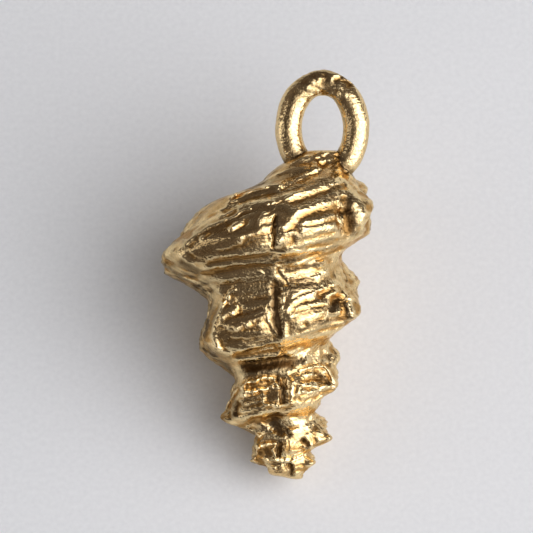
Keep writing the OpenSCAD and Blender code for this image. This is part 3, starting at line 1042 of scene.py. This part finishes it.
# sines of the angle round the oval between which the crown sets in, and its wear
CROWN_FADE, CROWN_WORN = (0.55, 1.0), 0.07
SEAM_FADE = 0.05
# height and size in millimetres, and place in the lattice
WIRE_LUMPS = ((0.02, 0.8, 0), (0.008, 0.3, 0))
CROWN_PITS = ((0.05, 0.35, 0), (0.03, 0.2, 3))
# the handled wire is a little brighter than the shell, its crown duller with tarnish, and its strokes
# painted darker with tarnish and painted shade
WIRE_GLOSS, CROWN_TARNISH, STROKE_TARNISH_AND_SHADE = 0.01, 0.3, 0.6


def loop_surface(u, v):
    """Places of a sheet wrapped round an oval of wire: u along the oval, v round the wire."""
    # the sheet starts and ends at the foot of the oval, inside the shell
    along, round_by = 2 * np.pi * (u - 0.25), 2 * np.pi * v
    centre = np.stack([LOOP_RX * np.cos(along), LOOP_RY * np.sin(along)], axis=-1)
    out = np.stack([np.cos(along) / LOOP_RX, np.sin(along) / LOOP_RY], axis=-1)
    out /= np.linalg.norm(out, axis=-1, keepdims=True)
    crown = smooth_step(*CROWN_FADE, np.sin(along))
    section = np.stack([out[..., 0] * np.cos(round_by), out[..., 1] * np.cos(round_by),
                        np.sin(round_by)], axis=-1)
    middle = np.stack([LOOP_MIDDLE[0] + centre[..., 0], LOOP_MIDDLE[1] + centre[..., 1],
                       0 * u], axis=-1)
    wire = WIRE_R * (1 - CROWN_WORN * crown)
    skin = middle + section * wire[..., None]
    facing = smooth_step(*FRONT_FADE, np.sin(round_by)) * off_ends(u, SEAM_FADE)
    carved = carve((LOOP,), skin, facing)
    dark = painted_facets((LOOP,), *ragged_place(skin), *faced(skin))[3]
    relief = layered(skin, WIRE_LUMPS) + crown * layered(skin, CROWN_PITS)
    place = middle + section * (wire + relief)[..., None]
    place[..., 2] += carved
    # tarnish on the crown, and the strokes' darkening, which is partly painted shade
    tarnish_and_shade = CROWN_TARNISH * crown + STROKE_TARNISH_AND_SHADE * dark * facing
    return place, above_mean(relief + carved) + WIRE_GLOSS, tarnish_and_shade


loop, loop_places, loop_relief, loop_tarnish_and_shade = wrapped_sheet(
    "loop", LOOP_COLUMNS, LOOP_ROWS, loop_surface)

# %% Join loop and shell
union = shell.modifiers.new("cast in one", "BOOLEAN")
union.operation = "UNION"
union.solver = "EXACT"
union.object = loop
evaluated = shell.evaluated_get(bpy.context.evaluated_depsgraph_get())
joined = bpy.data.meshes.new_from_object(evaluated)
shell.modifiers.remove(union)
shell.data = joined
bpy.data.objects.remove(loop)
charm = shell
charm.name = "charm"
bm = bmesh.new()
bm.from_mesh(charm.data)
# along its seam the union leaves faces with more corners than a grid has
bmesh.ops.triangulate(bm, faces=[f for f in bm.faces if len(f.verts) > 4])
for face in bm.faces:
    face.smooth = True
    face.material_index = 0
open_edges = sum(len(e.link_faces) != 2 for e in bm.edges)
bm.to_mesh(charm.data)
triangles = sum(len(f.verts) - 2 for f in bm.faces)
bm.free()
print(f"charm: {triangles} triangles, {open_edges} open edges")

# %% [markdown]
# ## High places, dirt and painted shade
#
# Plating wears bright on high places and keeps its dirt in low ones, so the material needs to
# know which is which; the low places are also painted darker as shade. The union forgets where
# its vertices came from, so each one takes the relief and the tarnish and painted shade of the
# nearest place on the two sheets. The corner between the wire and the boss, which is near both skins at
# once, is made darker too.

# %% Relief, and tarnish with painted shade, as attributes
# how much darker the corner between wire and boss is made, and within how many millimetres
SEAM_DARKENING, SEAM_REACH = 0.8, 0.24


def nearest_of(points):
    """The number of the point nearest to each vertex of the charm, and the millimetres to it."""
    tree = kdtree.KDTree(len(points))
    for i, point in enumerate(points):
        tree.insert(point, i)
    tree.balance()
    found = [tree.find(v.co) for v in charm.data.vertices]
    return [number for _, number, _ in found], np.array([away for _, _, away in found]) / MM


sources, _ = nearest_of(np.concatenate([shell_places, loop_places]))
_, off_shell = nearest_of(shell_places)
_, off_loop = nearest_of(loop_places)
seam_darkening = SEAM_DARKENING * np.exp(-(np.maximum(off_shell, off_loop) / SEAM_REACH) ** 2)
for name, on_shell, on_loop in (("relief", shell_relief, loop_relief),
                                ("tarnish_and_shade", shell_tarnish_and_shade, loop_tarnish_and_shade)):
    values = np.concatenate([on_shell, on_loop])[sources]
    if name == "tarnish_and_shade":
        values = np.maximum(values, seam_darkening)
    charm.data.attributes.new(name, "FLOAT", "POINT").data.foreach_set("value", values)
    print(f"{name}: {values.min():.2f} to {values.max():.2f}, mean {values.mean():.3f}")

# %% [markdown]
# ## Gold plating
#
# Gold plate on white metal is a warm mirror. It's pale and polished on the ridges, where the
# charm is handled, and duller and browner in the grooves, partly with wear and partly as painted
# shade. The relief drives the tint and the roughness from groove to ridge, and the tarnish, which
# is partly painted shade, mixes brown over both. The mirror is broken up by grain and by hairlines
# along the whorls. The real ones are finer than the render can show, so they are drawn a seventh
# to a fifth of a millimetre wide. That is still too fine for the mesh, so they are bump.

# %% Material helpers
# a Mix node has sockets for numbers and for colours under the same names: A, B and Result
NUMBER_A, NUMBER_B, COLOUR_A, COLOUR_B = 2, 3, 6, 7
MIXED_NUMBER, MIXED_COLOUR = 0, 2


def from_hex(text):
    """A colour written as sRGB hex, as the linear numbers that a shader needs."""
    parts = [int(text[i:i + 2], 16) / 255 for i in (1, 3, 5)]
    return [p / 12.92 if p <= 0.04045 else ((p + 0.055) / 1.055) ** 2.4 for p in parts] + [1]


def add_node(tree, kind, settings=None, links=None):
    """Add a node, set its properties and sockets, and link its sockets to other nodes' outputs."""
    node = tree.nodes.new(kind)
    for key, value in (settings or {}).items():
        if isinstance(key, str) and key not in node.inputs:
            setattr(node, key, value)
        else:
            node.inputs[key].default_value = value
    for key, output in (links or {}).items():
        tree.links.new(output, node.inputs[key])
    return node


print("middle grey as a shader needs it:", round(from_hex("#808080")[0], 3))

# %% Gold: from groove to ridge
# to the eye: a warm mirror, pale and sharp on the ridges, dull and brown in the grooves, where the darker
# tint is partly painted shade
GROOVE_GOLD, RIDGE_GOLD, TARNISH_AND_SHADE_BROWN = "#C4985A", "#FFE4AE", "#4E351A"
# relief at which the wear sets in and the painted groove shade ends, and at which the wear is full
WEAR_AND_SHADE_FROM_MM, WEAR_AND_SHADE_TO_MM = -0.05, 0.03
# pits of the plating: noise between which they fade, and how they shade the tint
PITS_PER_MM = 9
PIT_NOISE, PIT_SHADE = (0.35, 0.60), (0.82, 1.05)

gold = bpy.data.materials.new("gold plated casting")
gold.use_nodes = True
tree = gold.node_tree
tree.nodes.clear()
where = add_node(tree, "ShaderNodeTexCoord")
high = add_node(tree, "ShaderNodeAttribute", {"attribute_name": "relief"})
wear_and_shade = add_node(tree, "ShaderNodeMapRange", {"From Min": WEAR_AND_SHADE_FROM_MM, "From Max": WEAR_AND_SHADE_TO_MM},
                {"Value": high.outputs["Fac"]})
brown = add_node(tree, "ShaderNodeAttribute", {"attribute_name": "tarnish_and_shade"})
tint = add_node(tree, "ShaderNodeMix",
                {"data_type": "RGBA", COLOUR_A: from_hex(GROOVE_GOLD), COLOUR_B: from_hex(RIDGE_GOLD)},
                {"Factor": wear_and_shade.outputs[0]})
pits = add_node(tree, "ShaderNodeTexNoise", {"Scale": PITS_PER_MM / MM, "Detail": 1.0},
                {"Vector": where.outputs["Object"]})
pitted = add_node(tree, "ShaderNodeMapRange",
                  {"From Min": PIT_NOISE[0], "From Max": PIT_NOISE[1],
                   "To Min": PIT_SHADE[0], "To Max": PIT_SHADE[1]},
                  {"Value": pits.outputs[0]})
mottled = add_node(tree, "ShaderNodeVectorMath", {"operation": "SCALE"},
                   {0: tint.outputs[MIXED_COLOUR], "Scale": pitted.outputs[0]})
# brown mixed over the tint by the tarnish attribute: tarnish, and painted shade in hollows, on dark
# facets and down the left side
stain_and_shade = add_node(tree, "ShaderNodeMix", {"data_type": "RGBA", COLOUR_B: from_hex(TARNISH_AND_SHADE_BROWN)},
                 {COLOUR_A: mottled.outputs[0], "Factor": brown.outputs["Fac"]})
print("nodes for the tint:", len(tree.nodes))

# %% Gold: grain, hairlines and gloss
GROOVE_ROUGHNESS, RIDGE_ROUGHNESS, TARNISH_AND_SHADE_ROUGHNESS = 0.30, 0.13, 0.32
GRAINS_PER_MM, HAIRLINES_PER_MM = 7, 5.5
GRAIN_DEPTH_MM, HAIRLINE_DEPTH_MM = 0.028, 0.03
HAIRLINE_TURN, HAIRLINE_STRETCH = math.radians(-15), (0.22, 1.0, 1.0)

rough = add_node(tree, "ShaderNodeMapRange",
                 {"From Min": 0.0, "From Max": 1.0,
                  "To Min": GROOVE_ROUGHNESS, "To Max": RIDGE_ROUGHNESS},
                 {"Value": wear_and_shade.outputs[0]})
along_whorls = add_node(tree, "ShaderNodeMapping",
                        {"Rotation": (0, 0, HAIRLINE_TURN), "Scale": HAIRLINE_STRETCH},
                        {"Vector": where.outputs["Object"]})
hairlines = add_node(tree, "ShaderNodeTexNoise",
                     {"Scale": HAIRLINES_PER_MM / MM, "Detail": 1.0},
                     {"Vector": along_whorls.outputs[0]})
with_hairlines = add_node(tree, "ShaderNodeBump",
                          {"Strength": 1.0, "Distance": HAIRLINE_DEPTH_MM * MM},
                          {"Height": hairlines.outputs[0]})
fine_grain = add_node(tree, "ShaderNodeTexNoise", {"Scale": GRAINS_PER_MM / MM, "Detail": 1.0},
                      {"Vector": where.outputs["Object"]})
with_grain = add_node(tree, "ShaderNodeBump", {"Strength": 1.0, "Distance": GRAIN_DEPTH_MM * MM},
                      {"Height": fine_grain.outputs[0], "Normal": with_hairlines.outputs[0]})
matte = add_node(tree, "ShaderNodeMapRange", {"To Min": 0.0, "To Max": TARNISH_AND_SHADE_ROUGHNESS},
                 {"Value": brown.outputs["Fac"]})
rougher = add_node(tree, "ShaderNodeMath", {"operation": "MAXIMUM"},
                   {0: rough.outputs[0], 1: matte.outputs[0]})
print("nodes with grain and gloss:", len(tree.nodes))

# %% Gold: the plating
EDGE_TINT = "#FFF3DC"

plating = add_node(tree, "ShaderNodeBsdfPrincipled",
                   {"Metallic": 1.0, "Specular Tint": from_hex(EDGE_TINT)},
                   {"Base Color": stain_and_shade.outputs[MIXED_COLOUR], "Roughness": rougher.outputs[0],
                    "Normal": with_grain.outputs[0]})
add_node(tree, "ShaderNodeOutputMaterial", links={"Surface": plating.outputs[0]})
charm.data.materials.clear()
charm.data.materials.append(gold)

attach(charm, "root")
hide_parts("shell_charm")
print("gold:", len(tree.nodes), "nodes")

# %% [markdown]
# ## Paper, camera and light
#
# The charm lies on a pale uncoated sheet, whose fibres show as a faint speckle. The camera
# looks straight down the drawing's Z from so far that nothing tapers, so the picture can be
# laid over the photograph edge for edge.
#
# A big softbox stands on the right. A real one is brightest in its middle, so it is built of
# four panels, one in front of the other, whose light adds up. A narrow white card on the left
# lights the edges that face it. The room is dim and uneven, so that the metal has
# something to mirror between the two.

# %% Paper
# to the eye: matt and almost white, with a faint speckle of fibres
PAPER_HALF = 0.6
PAPER_ROUGHNESS = 0.9
FIBRES_PER_MM = 4
FIBRE_SHADE, FIBRE_WHITE = "#EDEDF0", "#FDFDFF"

bm = bmesh.new()
bmesh.ops.create_grid(bm, x_segments=1, y_segments=1, size=PAPER_HALF)
sheet_mesh = bpy.data.meshes.new("paper")
bm.to_mesh(sheet_mesh)
bm.free()
paper = add_object("paper", sheet_mesh)
pale = bpy.data.materials.new("uncoated paper")
pale.use_nodes = True
tree = pale.node_tree
sheet_skin = tree.nodes["Principled BSDF"]
sheet_skin.inputs["Roughness"].default_value = PAPER_ROUGHNESS
on_sheet = add_node(tree, "ShaderNodeTexCoord")
fibres = add_node(tree, "ShaderNodeTexNoise", {"Scale": FIBRES_PER_MM / MM, "Detail": 3.0},
                  {"Vector": on_sheet.outputs["Object"]})
speck = add_node(tree, "ShaderNodeMix",
                 {"data_type": "RGBA", COLOUR_A: from_hex(FIBRE_SHADE), COLOUR_B: from_hex(FIBRE_WHITE)},
                 {"Factor": fibres.outputs[0]})
tree.links.new(speck.outputs[MIXED_COLOUR], sheet_skin.inputs["Base Color"])
paper.data.materials.append(pale)
print("paper:", [round(v, 2) for v in paper.dimensions[:2]], "m")

# %% Camera
FRAME_PX = 533
CAMERA_AWAY = 0.25
NEAREST_SEEN = 0.01
CAMERA_SPOT = ((FRAME_PX / 2 - PHOTO_ORIGIN[0]) * PHOTO_MM,
               (PHOTO_ORIGIN[1] - FRAME_PX / 2) * PHOTO_MM, CAMERA_AWAY / MM)

camera_data = bpy.data.cameras.new("camera")
camera_data.lens = camera_data.sensor_width * CAMERA_AWAY / (FRAME_PX * PHOTO_MM * MM)
camera_data.clip_start = NEAREST_SEEN
camera = add_object("camera", camera_data)
camera.matrix_world = Matrix.Translation(Vector(on_table(CAMERA_SPOT))) @ turn.to_4x4()
bpy.context.scene.camera = camera
print(f"camera: {camera_data.lens:.0f} mm lens, {CAMERA_AWAY / MM:.0f} mm away")

# %% Lights
LIGHTS = (
    # name, degrees right of the viewer, degrees up, metres away, width, height, watts, colour
    ("white card", -76, 0, 0.30, 0.10, 0.46, 0.16, "#FFFFFF"),
    ("softbox, edge", 42, -10, 0.305, 0.585, 0.80, 0.60, "#FDFDFF"),
    ("softbox, whole", 48, -8, 0.30, 0.47, 0.68, 0.33, "#FDFDFF"),
    ("softbox, middle", 54, -5, 0.295, 0.37, 0.60, 0.43, "#FDFDFF"),
    ("softbox, hot spot", 57, -3, 0.29, 0.22, 0.46, 0.47, "#FDFDFF"),
)
# the middle of the lit ridges, in drawing millimetres
LIT_SPOT = (0.5, -3.0, 0.0)

target = Vector(on_table(LIT_SPOT))
for name, right, up, away, width, height, watts, colour in LIGHTS:
    right, up = math.radians(right), math.radians(up)
    aim = turn @ Vector((math.sin(right) * math.cos(up), math.sin(up),
                         math.cos(right) * math.cos(up)))
    lamp = bpy.data.lights.new(name, "AREA")
    lamp.shape = "RECTANGLE"
    lamp.size, lamp.size_y = width, height
    lamp.energy = watts
    lamp.color = from_hex(colour)[:3]
    thing = add_object(name, lamp)
    thing.matrix_world = (Matrix.Translation(target + aim * away)
                          @ aim.to_track_quat("Z", "Y").to_matrix().to_4x4())
    thing.visible_camera = False
    print(f"{name}: {width} x {height} m, {watts} W")

# %% Room
# the metal mirrors an uneven room: scale of its things, noise, and strength from dim to bright
THINGS_SCALE, THINGS_NOISE, ROOM_STRENGTH = 5.0, (0.38, 0.62), (0.09, 0.21)
# the fill on the paper is even, and a plain wall stands behind everything
FILL_STRENGTH, WALL_STRENGTH = 0.10, 0.9
MIRRORED_ROOM, FILL_LIGHT, WALL = "#FFEEE6", "#FBFAF6", "#E4E4E6"

world = bpy.data.worlds.new("studio")
bpy.context.scene.world = world
world.use_nodes = True
tree = world.node_tree
tree.nodes.clear()
seen = add_node(tree, "ShaderNodeLightPath")
around = add_node(tree, "ShaderNodeTexCoord")
things = add_node(tree, "ShaderNodeTexNoise", {"Scale": THINGS_SCALE, "Detail": 2.0},
                  {"Vector": around.outputs["Generated"]})
dim = add_node(tree, "ShaderNodeMapRange",
               {"From Min": THINGS_NOISE[0], "From Max": THINGS_NOISE[1],
                "To Min": ROOM_STRENGTH[0], "To Max": ROOM_STRENGTH[1]},
               {"Value": things.outputs[0]})
fill = add_node(tree, "ShaderNodeMix", {NUMBER_B: FILL_STRENGTH},
                {NUMBER_A: dim.outputs[0], "Factor": seen.outputs["Is Diffuse Ray"]})
shade = add_node(tree, "ShaderNodeMix",
                 {"data_type": "RGBA", COLOUR_A: from_hex(MIRRORED_ROOM), COLOUR_B: from_hex(FILL_LIGHT)},
                 {"Factor": seen.outputs["Is Diffuse Ray"]})
room = add_node(tree, "ShaderNodeBackground",
                links={"Color": shade.outputs[MIXED_COLOUR], "Strength": fill.outputs[MIXED_NUMBER]})
wall = add_node(tree, "ShaderNodeBackground",
                {"Color": from_hex(WALL), "Strength": WALL_STRENGTH})
both = add_node(tree, "ShaderNodeMixShader",
                links={"Fac": seen.outputs["Is Camera Ray"], 1: room.outputs[0], 2: wall.outputs[0]})
add_node(tree, "ShaderNodeOutputWorld", links={"Surface": both.outputs[0]})
bpy.context.scene.view_settings.view_transform = "Standard"
print("room:", len(tree.nodes), "nodes")
